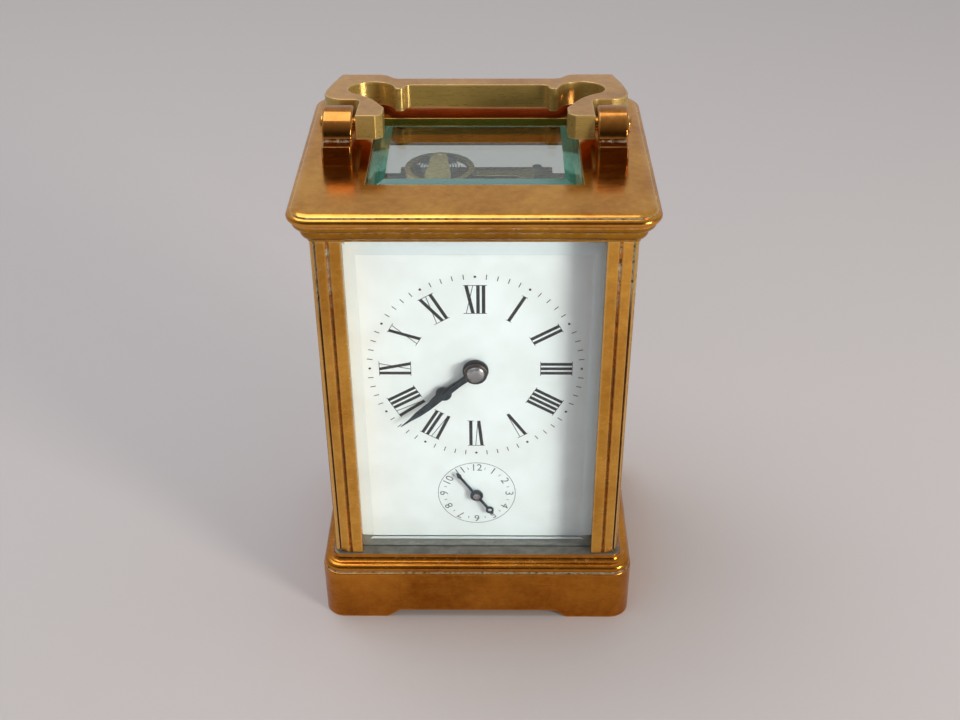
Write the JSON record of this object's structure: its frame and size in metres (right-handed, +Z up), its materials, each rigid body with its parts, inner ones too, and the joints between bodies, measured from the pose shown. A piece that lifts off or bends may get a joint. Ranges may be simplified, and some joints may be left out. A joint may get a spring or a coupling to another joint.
{
  "type": "carriage clock",
  "caption": "Brass carriage clock with bevelled glass panels, enamel dial, alarm sub-dial, glazed rear door and a folding handle on top.",
  "frame": {"origin": "on the table under the middle of the base", "axes": "+Z up, the dial faces -Y, +X to the right seen from the front"},
  "size_m": [0.079, 0.0662, 0.1246],
  "materials": {
    "case_brass": "polished, worn",
    "movement_brass": "satin",
    "bell_metal": "satin",
    "steel": "polished",
    "blued_steel": "blued",
    "enamel": "gloss enamel",
    "glass": "clear, bevelled"
  },
  "bodies": {
    "case": {"base_plinth": "case_brass", "base_cover": "case_brass", "base_cover_screws": "steel", "post_screws": "steel", "corner_post_front_left": "case_brass", "corner_post_front_right": "case_brass", "corner_post_rear_left": "case_brass", "corner_post_rear_right": "case_brass", "cornice": "case_brass", "top_glass": "glass", "front_glass": "glass", "left_glass": "glass", "right_glass": "glass", "handle_lug_left": "case_brass", "handle_lug_right": "case_brass", "handle_pivot_screws": "case_brass", "dial": "enamel", "dial_feet": "movement_brass", "movement_front_plate": "movement_brass", "movement_back_plate": "movement_brass", "movement_pillars": "movement_brass", "movement_screws": "steel", "platform": "movement_brass", "platform_screws": "steel", "escape_bridge": "movement_brass", "balance_cock": "movement_brass", "alarm_bell": "bell_metal", "bell_screw": "steel"},
    "handle": {"handle": "case_brass"},
    "rear_door": {"rear_door_frame": "case_brass", "rear_door_glass": "glass", "rear_door_pins": "steel", "rear_door_knob": "case_brass"},
    "minute_set": {"minute_hand": "blued_steel", "hand_collet": "steel", "centre_arbor": "steel"},
    "hour_set": {"hour_hand": "blued_steel", "hour_wheel": "movement_brass"},
    "minute_wheel": {"minute_wheel": "movement_brass"},
    "alarm_set": {"alarm_hand": "blued_steel", "alarm_arbor": "steel"},
    "going_key": {"going_winding_arbor": "steel"},
    "alarm_key": {"alarm_winding_arbor": "steel"},
    "contrate": {"contrate_wheel": "movement_brass"},
    "third": {"third_wheel": "movement_brass"},
    "centre": {"centre_wheel": "movement_brass"},
    "intermediate": {"intermediate_wheel": "movement_brass"},
    "going_barrel": {"going_barrel": "movement_brass"},
    "escape": {"escape_wheel": "steel"},
    "lever": {"pallet_lever": "steel"},
    "balance": {"balance_wheel": "movement_brass", "balance_spring": "steel"},
    "alarm_barrel": {"alarm_barrel": "movement_brass"},
    "alarm_wheel": {"alarm_wheel": "movement_brass"},
    "hammer": {"alarm_hammer": "steel"}
  },
  "joints": [
    {"name": "handle_fold", "type": "hinge", "parent": "case", "child": "handle", "pos_m": [0, 0, 0.1207], "axis": [1, 0, 0], "range_deg": [0, 192]},
    {"name": "rear_door_swing", "type": "hinge", "parent": "case", "child": "rear_door", "pos_m": [-0.02535, 0.0261, 0.06], "axis": [0, 0, 1], "range_deg": [0, 105]},
    {"name": "minute_turn", "type": "hinge", "parent": "case", "child": "minute_set", "pos_m": [0, 0, 0.0696], "axis": [0, 1, 0], "continuous": true},
    {"name": "hour_turn", "type": "hinge", "parent": "case", "child": "hour_set", "pos_m": [0, 0, 0.0696], "axis": [0, 1, 0], "continuous": true},
    {"name": "minute_wheel_turn", "type": "hinge", "parent": "case", "child": "minute_wheel", "pos_m": [0.0036, 0, 0.06336], "axis": [0, 1, 0], "continuous": true},
    {"name": "alarm_set_turn", "type": "hinge", "parent": "case", "child": "alarm_set", "pos_m": [0, 0, 0.03245], "axis": [0, 1, 0], "continuous": true},
    {"name": "going_wind_turn", "type": "hinge", "parent": "case", "child": "going_key", "pos_m": [-0.01312, 0, 0.05019], "axis": [0, 1, 0], "continuous": true},
    {"name": "alarm_wind_turn", "type": "hinge", "parent": "case", "child": "alarm_key", "pos_m": [0.0145, 0, 0.041], "axis": [0, 1, 0], "continuous": true},
    {"name": "third_turn", "type": "hinge", "parent": "case", "child": "third", "pos_m": [-0.0064, 0, 0.08114], "axis": [0, 1, 0], "continuous": true},
    {"name": "contrate_turn", "type": "hinge", "parent": "case", "child": "contrate", "pos_m": [0.00516, 0, 0.08329], "axis": [0, 1, 0], "continuous": true},
    {"name": "centre_turn", "type": "hinge", "parent": "case", "child": "centre", "pos_m": [0, 0, 0.0696], "axis": [0, 1, 0], "continuous": true},
    {"name": "intermediate_turn", "type": "hinge", "parent": "case", "child": "intermediate", "pos_m": [0.00179, 0, 0.05503], "axis": [0, 1, 0], "continuous": true},
    {"name": "going_barrel_turn", "type": "hinge", "parent": "case", "child": "going_barrel", "pos_m": [-0.01312, 0, 0.05019], "axis": [0, 1, 0], "continuous": true},
    {"name": "escape_turn", "type": "hinge", "parent": "case", "child": "escape", "pos_m": [0.00516, 0.00217, 0.095], "axis": [0, 0, 1], "continuous": true},
    {"name": "lever_rock", "type": "hinge", "parent": "case", "child": "lever", "pos_m": [0.00046, 0.00217, 0.095], "axis": [0, 0, 1], "range_deg": [-6, 6]},
    {"name": "balance_swing", "type": "hinge", "parent": "case", "child": "balance", "pos_m": [-0.00834, 0.00217, 0.095], "axis": [0, 0, 1], "range_deg": [-140, 140], "stiffness_Nm_per_rad": 0.000011},
    {"name": "alarm_barrel_turn", "type": "hinge", "parent": "case", "child": "alarm_barrel", "pos_m": [0.0145, 0, 0.041], "axis": [0, 1, 0], "continuous": true},
    {"name": "alarm_wheel_turn", "type": "hinge", "parent": "case", "child": "alarm_wheel", "pos_m": [0.02036, 0, 0.05202], "axis": [0, 1, 0], "continuous": true},
    {"name": "hammer_strike", "type": "hinge", "parent": "case", "child": "hammer", "pos_m": [0.0175, 0, 0.0293], "axis": [0, 1, 0], "range_deg": [0, 3.2]}
  ],
  "couplings": [
    {"joint": "minute_wheel_turn", "follows": "minute_turn", "ratio": -0.33333},
    {"joint": "hour_turn", "follows": "minute_turn", "ratio": 0.083333},
    {"joint": "contrate_turn", "follows": "third_turn", "ratio": -6},
    {"joint": "escape_turn", "follows": "third_turn", "ratio": -30},
    {"joint": "centre_turn", "follows": "third_turn", "ratio": -0.14583},
    {"joint": "intermediate_turn", "follows": "third_turn", "ratio": 0.024306},
    {"joint": "going_barrel_turn", "follows": "third_turn", "ratio": -0.0045573},
    {"joint": "alarm_wheel_turn", "follows": "alarm_barrel_turn", "ratio": -5}
  ]
}
